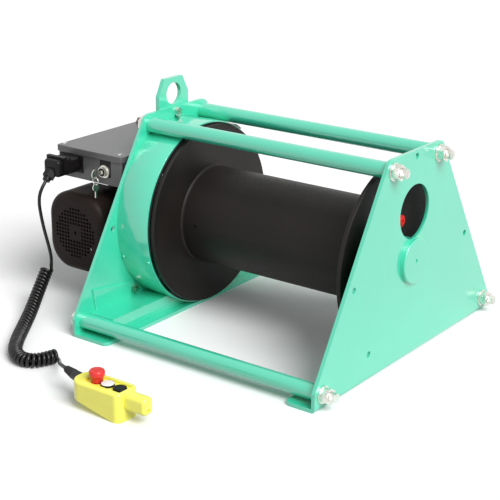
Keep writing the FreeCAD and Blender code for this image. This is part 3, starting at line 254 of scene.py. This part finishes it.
GREEN = (0.045, 0.62, 0.40)
FINISHES = {
    "paint": make_material(
        "gloss_paint", GREEN, 0.30, coat=1.0, coat_ior=1.75, specular=0.8, tone=0.025, rough_spread=0.02,
        grain=45, bump=0.00006, strength=0.03),
    "cast_paint": make_material(
        "cast_paint", GREEN, 0.42, coat=0.4, grain=220, bump=0.0006, strength=0.4),
    "drum": make_material(
        "drum_paint", (0.0175, 0.0145, 0.0135), 0.48, tone=0.18, tone_scale=5, rough_spread=0.08, grain=240,
        bump=0.0002, strength=0.2, specular=0.18),
    "flange": make_material(
        "flange_paint", (0.0115, 0.0095, 0.0085), 0.45, tone=0.2, tone_scale=9, grain=180, bump=0.0002,
        specular=0.25),
    "grey": make_material(
        "grey_paint", (0.098, 0.098, 0.101), 0.38, coat=0.1, tone=0.05, grain=700, bump=0.0001),
    "zinc": make_material(
        "zinc_plate", (0.74, 0.73, 0.68), 0.24, metallic=1.0, tone=0.2, tone_scale=60, rough_spread=0.1,
        grain=500, bump=0.0001),
    "bright": make_material(
        "nickel_plate", (0.72, 0.71, 0.66), 0.30, metallic=1.0, tone=0.1, grain=600, bump=0.00005),
    "steel": make_material(
        "machined_steel", (0.55, 0.55, 0.54), 0.28, metallic=1.0, tone=0.1, tone_scale=30, grain=1.0,
        stretch=(900, 25, 25), bump=0.0001),
    "iron": make_material(
        "cast_iron", (0.10, 0.10, 0.10), 0.6, metallic=0.7, tone=0.2, grain=260, bump=0.0006, strength=0.5),
    "bronze": make_material(
        "bronze", (0.62, 0.38, 0.14), 0.3, metallic=1.0, tone=0.1, tone_scale=40, grain=300, bump=0.0001),
    "copper": make_material(
        "copper_winding", (0.50, 0.20, 0.09), 0.35, metallic=0.9, grain=1.0, stretch=(60, 900, 60),
        bump=0.0006, strength=0.6),
    "motor": make_material(
        "motor_paint", (0.0135, 0.0082, 0.0072), 0.52, tone=0.2, tone_scale=12, grain=420, bump=0.0003,
        strength=0.3, specular=0.14),
    "black": make_material(
        "black_nylon", (0.006, 0.005, 0.005), 0.42, tone=0.2, tone_scale=25, grain=900, bump=0.0001,
        specular=0.22),
    "rubber": make_material(
        "black_rubber", (0.010, 0.009, 0.009), 0.50, tone=0.2, tone_scale=30, grain=1200, bump=0.0001,
        specular=0.3),
    "cord": make_material(
        "cord_jacket", (0.0045, 0.0035, 0.0035), 0.26, tone=0.15, tone_scale=40, grain=1100, bump=0.00008,
        specular=0.4),
    "yellow": make_material(
        "yellow_plastic", (1.0, 0.95, 0.13), 0.30, coat=0.6, tone=0.03, tone_scale=20, grain=900,
        bump=0.0001, strength=0.1),
    "red": make_material("red_plastic", (0.74, 0.030, 0.028), 0.28, tone=0.06, grain=800, bump=0.00006),
    "white": make_material("white_plastic", (0.85, 0.85, 0.83), 0.3, tone=0.03, grain=800, bump=0.00006),
    "lens": make_material(
        "dark_red_lens", (0.10, 0.008, 0.010), 0.15, coat=0.6, tone=0.1, grain=600, bump=0.00005),
    "bakelite": make_material(
        "grey_plastic", (0.30, 0.30, 0.29), 0.5, tone=0.08, tone_scale=20, grain=600, bump=0.0001),
}

NODE_FINISH = {
    "paint": ["left_end_plate", "right_end_plate", "top_tie_tubes", "bottom_tie_tubes", "base_channel",
              "wall_pad", "lifting_lug", "drum_guard", "bearing_housings"],
    "cast_paint": ["gearbox_housing", "gearbox_cover"],
    "drum": ["drum_barrel"],
    "flange": ["left_flange", "right_flange"],
    "grey": ["control_box", "control_box_lid"],
    "zinc": ["tie_rods", "tie_washers", "tie_nuts", "frame_bolts", "cap_screws"],
    "bright": ["key_switch", "switch_key", "key_ring"],
    "steel": ["drum_gear", "drum_shaft", "bearings", "pinion_shaft", "rotor_core", "motor_shaft"],
    "iron": ["brake_magnet", "brake_disc"],
    "bronze": ["worm_wheel"],
    "copper": ["stator"],
    "motor": ["motor_housing", "motor_end_shields", "fan_cover"],
    "black": ["cooling_fan", "power_inlet", "socket_housing", "plug_hood", "cable_gland", "legend_plate",
              "locking_lever", "lower_button", "switch_block"],
    "rubber": ["guard_edge_strip", "box_spacers", "cord_boot", "cord_upper", "cord_coil", "cord_lower"],
    "yellow": ["pendant_base", "pendant_cover"],
    "red": ["rope_clamp", "stop_button"],
    "white": ["raise_button"],
    "lens": ["power_lamp"],
    "bakelite": ["control_gear", "guard_joint_bar"],
}


def dress_nodes():
    """Gives every CAD node its finish."""
    for finish, names in NODE_FINISH.items():
        for name in names:
            mesh = NODES[name].data
            mesh.materials.clear()
            mesh.materials.append(FINISHES[finish])


EDGE_WIDTHS = {
    "left_end_plate": 0.8, "right_end_plate": 0.8, "lifting_lug": 0.8, "drum_guard": 0.5,
    "control_box_lid": 0.5, "tie_nuts": 0.8, "tie_washers": 0.3, "base_channel": 0.5, "plug_hood": 0.8,
    "socket_housing": 0.8, "switch_key": 0.3, "guard_joint_bar": 0.5}
SAME_POINT = 0.00001
CREASE_ANGLE = math.radians(40)


def soften(name, width):
    """Rounds a CAD node's sharp edges, as a press or a file leaves them."""
    obj = NODES[name]
    weld = obj.modifiers.new("weld", "WELD")
    weld.merge_threshold = SAME_POINT
    bevel = obj.modifiers.new("bevel", "BEVEL")
    bevel.width = width * MM
    bevel.segments = 2
    bevel.limit_method = "ANGLE"
    bevel.angle_limit = CREASE_ANGLE
    bevel.harden_normals = True


# ---------------------------------------------------------------- detail pieces

THREAD_PITCH = 2.5
THREAD_ROOT, THREAD_CREST = 10.02, 10.5
TOP_TIE_Y, TOP_TIE_Z = 90.0, 421.0
LOW_TIE_Y, LOW_TIE_Z = 323.0, 31.5
BOOT_TIP = (-135.0, -555.0, 46.0)
BOOT_LEAN = (52.0, -18.0, 1.0)
BOOT_LONG = 60.0
BOOT_NARROW, BOOT_WIDE = 6.5, 12.5
BOOT_RINGS = 6
BOOT_RING_START, BOOT_RING_STEP = 2.0, 5.5
KEY_AT = (-377.0, 319.0)
GUARD_SCREW_X = (-300.0, -228.0)
GUARD_SCREW_ANGLE = 199.0


def add_piece(name, mesh, finish, body, smooth=True):
    """Puts a finished mesh into the scene as a named piece on a body."""
    obj = bpy.data.objects.new(name, mesh)
    bpy.context.scene.collection.objects.link(obj)
    mesh.materials.append(FINISHES[finish])
    for polygon in mesh.polygons:
        polygon.use_smooth = smooth
    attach(obj, body)
    return obj


def lathe_into(work, profile, at, axis, steps=48):
    """Turns (distance along, radius) points about an axis and adds the skin to a bmesh."""
    direction = Vector(axis).normalized()
    side = direction.orthogonal().normalized()
    other = direction.cross(side)
    rings = []
    for along, radius in profile:
        centre = at + direction * along * MM
        if radius == 0:
            rings.append([work.verts.new(centre)])
            continue
        rings.append([
            work.verts.new(centre + (side * math.cos(angle) + other * math.sin(angle)) * radius * MM)
            for angle in (2 * math.pi * step / steps for step in range(steps))])
    for first, second in zip(rings, rings[1:]):
        for step in range(steps):
            after = (step + 1) % steps
            corners = [first[step % len(first)], first[after % len(first)],
                       second[after % len(second)], second[step % len(second)]]
            unique = list(dict.fromkeys(corners))
            if len(unique) > 2:
                work.faces.new(unique)


def lathe(name, profile, places, axis, finish, body, steps=48):
    """One piece made of the same turned form at each place."""
    work = bmesh.new()
    for at in places:
        lathe_into(work, profile, at, axis, steps)
    bmesh.ops.recalc_face_normals(work, faces=work.faces)
    mesh = bpy.data.meshes.new(name)
    work.to_mesh(mesh)
    work.free()
    return add_piece(name, mesh, finish, body)


def rod_threads():
    """The rolled thread on the tie rods' free ends, beyond the nuts."""
    rod_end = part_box("tie_rods")[1].x
    nut_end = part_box("tie_nuts")[1].x
    length = (rod_end - nut_end) / MM
    profile = []
    turn = 0.0
    while turn < length - THREAD_PITCH:
        profile += [
            (turn, THREAD_ROOT), (turn + THREAD_PITCH / 2, THREAD_CREST), (turn + THREAD_PITCH, THREAD_ROOT)]
        turn += THREAD_PITCH
    places = [
        Vector((nut_end, side * y * MM, z * MM))
        for side in (-1, 1) for y, z in ((TOP_TIE_Y, TOP_TIE_Z), (LOW_TIE_Y, LOW_TIE_Z))]
    lathe("rod_threads", profile, places, (1, 0, 0), "zinc", "frame", 32)


def barrel_welds():
    """The weld fillets where the barrel meets its flanges."""
    low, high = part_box("drum_barrel")
    radius = (high.z - low.z) / 2 / MM
    middle = (high.z + low.z) / 2
    for name, x, way in (("left_barrel_weld", low.x, 1), ("right_barrel_weld", high.x, -1)):
        profile = [
            (0, radius + 3.5), (0.8, radius + 2.9), (2.0, radius + 1.3), (3.4, radius + 0.4), (5, radius)]
        lathe(name, profile, [Vector((x, 0, middle))], (way, 0, 0), "drum", "drum", 96)


def stop_button():
    """The mushroom head, on a stout stem and with a dished top."""
    low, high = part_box("stop_button")
    middle = (low + high) / 2
    tall = (high.z - low.z) / MM
    head = (high.x - low.x) / 2 / MM
    stem = head - 3.6
    profile = [
        (0, 0), (0, stem), (tall - 15.5, stem), (tall - 14, stem + 0.6), (tall - 12.6, head - 0.6),
        (tall - 11, head), (tall - 4, head), (tall - 1.3, head - 1.5), (tall - 0.1, head - 4.2),
        (tall - 0.4, head - 8), (tall - 0.8, 4), (tall - 0.9, 0)]
    at = Vector((middle.x, middle.y, low.z))
    piece = lathe("stop_mushroom", profile, [at], (0, 0, 1), "red", "stop")
    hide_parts("stop_button")


def push_buttons():
    """The two push caps: black bodies, the raise one with a white disc over its top."""
    for node, name in (("raise_button", "raise_cap"), ("lower_button", "lower_cap")):
        low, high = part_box(node)
        middle = (low + high) / 2
        tall = (high.z - low.z) / MM
        wide = (high.x - low.x) / 2 / MM
        body = node.split("_")[0]
        at = Vector((middle.x, middle.y, low.z))
        rim = [(0, 0), (0, wide), (tall - 2.2, wide), (tall - 1.4, wide - 0.5)]
        if node == "raise_button":
            rim.append((tall - 1.4, 0))
            disc = [
                (tall - 1.4, wide - 0.6), (tall - 0.7, wide - 0.7), (tall - 0.15, wide - 1.6),
                (tall, wide - 3), (tall, 0)]
            lathe("raise_disc", disc, [at], (0, 0, 1), "white", body)
        else:
            rim += [(tall - 0.4, wide - 1.6), (tall, wide - 3.4), (tall - 0.6, wide - 6), (tall - 0.8, 0)]
        piece = lathe(name, rim, [at], (0, 0, 1), "black", body)
        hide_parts(node)


def boot_rings():
    """The moulded rings along the narrow part of the pendant's cord boot."""
    tip = metres(*BOOT_TIP)
    for index in range(BOOT_RINGS):
        along = BOOT_RING_START + BOOT_RING_STEP * index
        radius = BOOT_NARROW + (BOOT_WIDE - BOOT_NARROW) * along / BOOT_LONG
        profile = [
            (along, radius - 0.3), (along + 0.8, radius + 0.9), (along + 2.2, radius + 1.0),
            (along + 3.0, radius)]
        lathe("boot_ring_%d" % index, profile, [tip], BOOT_LEAN, "rubber", "frame", 32)


def guard_screw_caps():
    """Paint over the heads of the two screws in the drum guard."""
    low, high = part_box("drum_guard")
    radius = (high.y - low.y) / 2
    middle = Vector((0, (high.y + low.y) / 2, high.z - radius))
    angle = math.radians(GUARD_SCREW_ANGLE)
    outward = Vector((0, math.cos(angle), math.sin(angle)))
    places = [middle + outward * radius + Vector((x * MM, 0, 0)) for x in GUARD_SCREW_X]
    profile = [(-0.5, 3.4), (2.2, 3.4), (2.8, 2.8), (3.0, 2.0), (3.0, 0)]
    lathe("guard_screw_caps", profile, places, outward, "paint", "frame", 24)


def key_core():
    """The black face of the lock, inside the key switch's bright barrel."""
    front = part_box("key_switch")[0].y
    across, up = KEY_AT
    profile = [(-0.5, 9.6), (0.35, 9.4), (0.6, 8.6), (0.6, 5.2), (0.2, 4.6), (-0.5, 4.6)]
    at = Vector((across * MM, front, up * MM))
    lathe("key_core", profile, [at], (0, -1, 0), "black", "frame")


# ---------------------------------------------------------------- studio

FLOOR_REACH = 14.0
WHITE_SEEN = 1.02
SHADE_FILL = 0.42
SUN_FROM = (1.0, -0.33, 0.95)
SUN_STRENGTH = 3.4
SUN_SPREAD = 36


def make_floor():
    """A wide pale floor that takes shadows and throws no light back on the object."""
    mesh = bpy.data.meshes.new("floor")
    corners = [
        (x * FLOOR_REACH, y * FLOOR_REACH, 0) for x, y in ((-1, -1), (1, -1), (1, 1), (-1, 1))]
    mesh.from_pydata(corners, [], [(0, 1, 2, 3)])
    floor = bpy.data.objects.new("floor", mesh)
    bpy.context.scene.collection.objects.link(floor)
    material = make_material(
        "pale_floor", (0.95, 0.95, 0.95), 0.9, tone=0.01, grain=40, bump=0.0001, specular=0.1)
    mesh.materials.append(material)
    floor.visible_diffuse = False


def make_sun(toward, strength, spread):
    """One broad soft light from a direction."""
    data = bpy.data.lights.new("sun", "SUN")
    data.energy = strength
    data.angle = math.radians(spread)
    light = bpy.data.objects.new("sun", data)
    bpy.context.scene.collection.objects.link(light)
    light.rotation_mode = "QUATERNION"
    light.rotation_quaternion = (-Vector(toward)).to_track_quat("-Z", "Y")


def make_world():
    """White to look at and in reflections, and dimmer as the light that fills the shade."""
    world = bpy.data.worlds.new("studio")
    bpy.context.scene.world = world
    world.use_nodes = True
    tree = world.node_tree
    background = tree.nodes["Background"]
    background.inputs["Color"].default_value = (1.0, 1.0, 1.0, 1)
    rays = tree.nodes.new("ShaderNodeLightPath")
    seen = tree.nodes.new("ShaderNodeMath")
    seen.operation = "MAXIMUM"
    strength = tree.nodes.new("ShaderNodeMapRange")
    strength.inputs["To Min"].default_value = SHADE_FILL
    strength.inputs["To Max"].default_value = WHITE_SEEN
    tree.links.new(rays.outputs["Is Camera Ray"], seen.inputs[0])
    tree.links.new(rays.outputs["Is Glossy Ray"], seen.inputs[1])
    tree.links.new(seen.outputs["Value"], strength.inputs["Value"])
    tree.links.new(strength.outputs["Result"], background.inputs["Strength"])


def make_studio():
    """The plain view transform, the white surround and the one sun."""
    bpy.context.scene.view_settings.view_transform = "Standard"
    make_world()
    make_sun(SUN_FROM, SUN_STRENGTH, SUN_SPREAD)


dress_nodes()
for node_name, edge_width in EDGE_WIDTHS.items():
    soften(node_name, edge_width)
cord.data.materials.append(FINISHES["cord"])
rod_threads()
barrel_welds()
stop_button()
push_buttons()
boot_rings()
key_core()
guard_screw_caps()
make_floor()
make_studio()
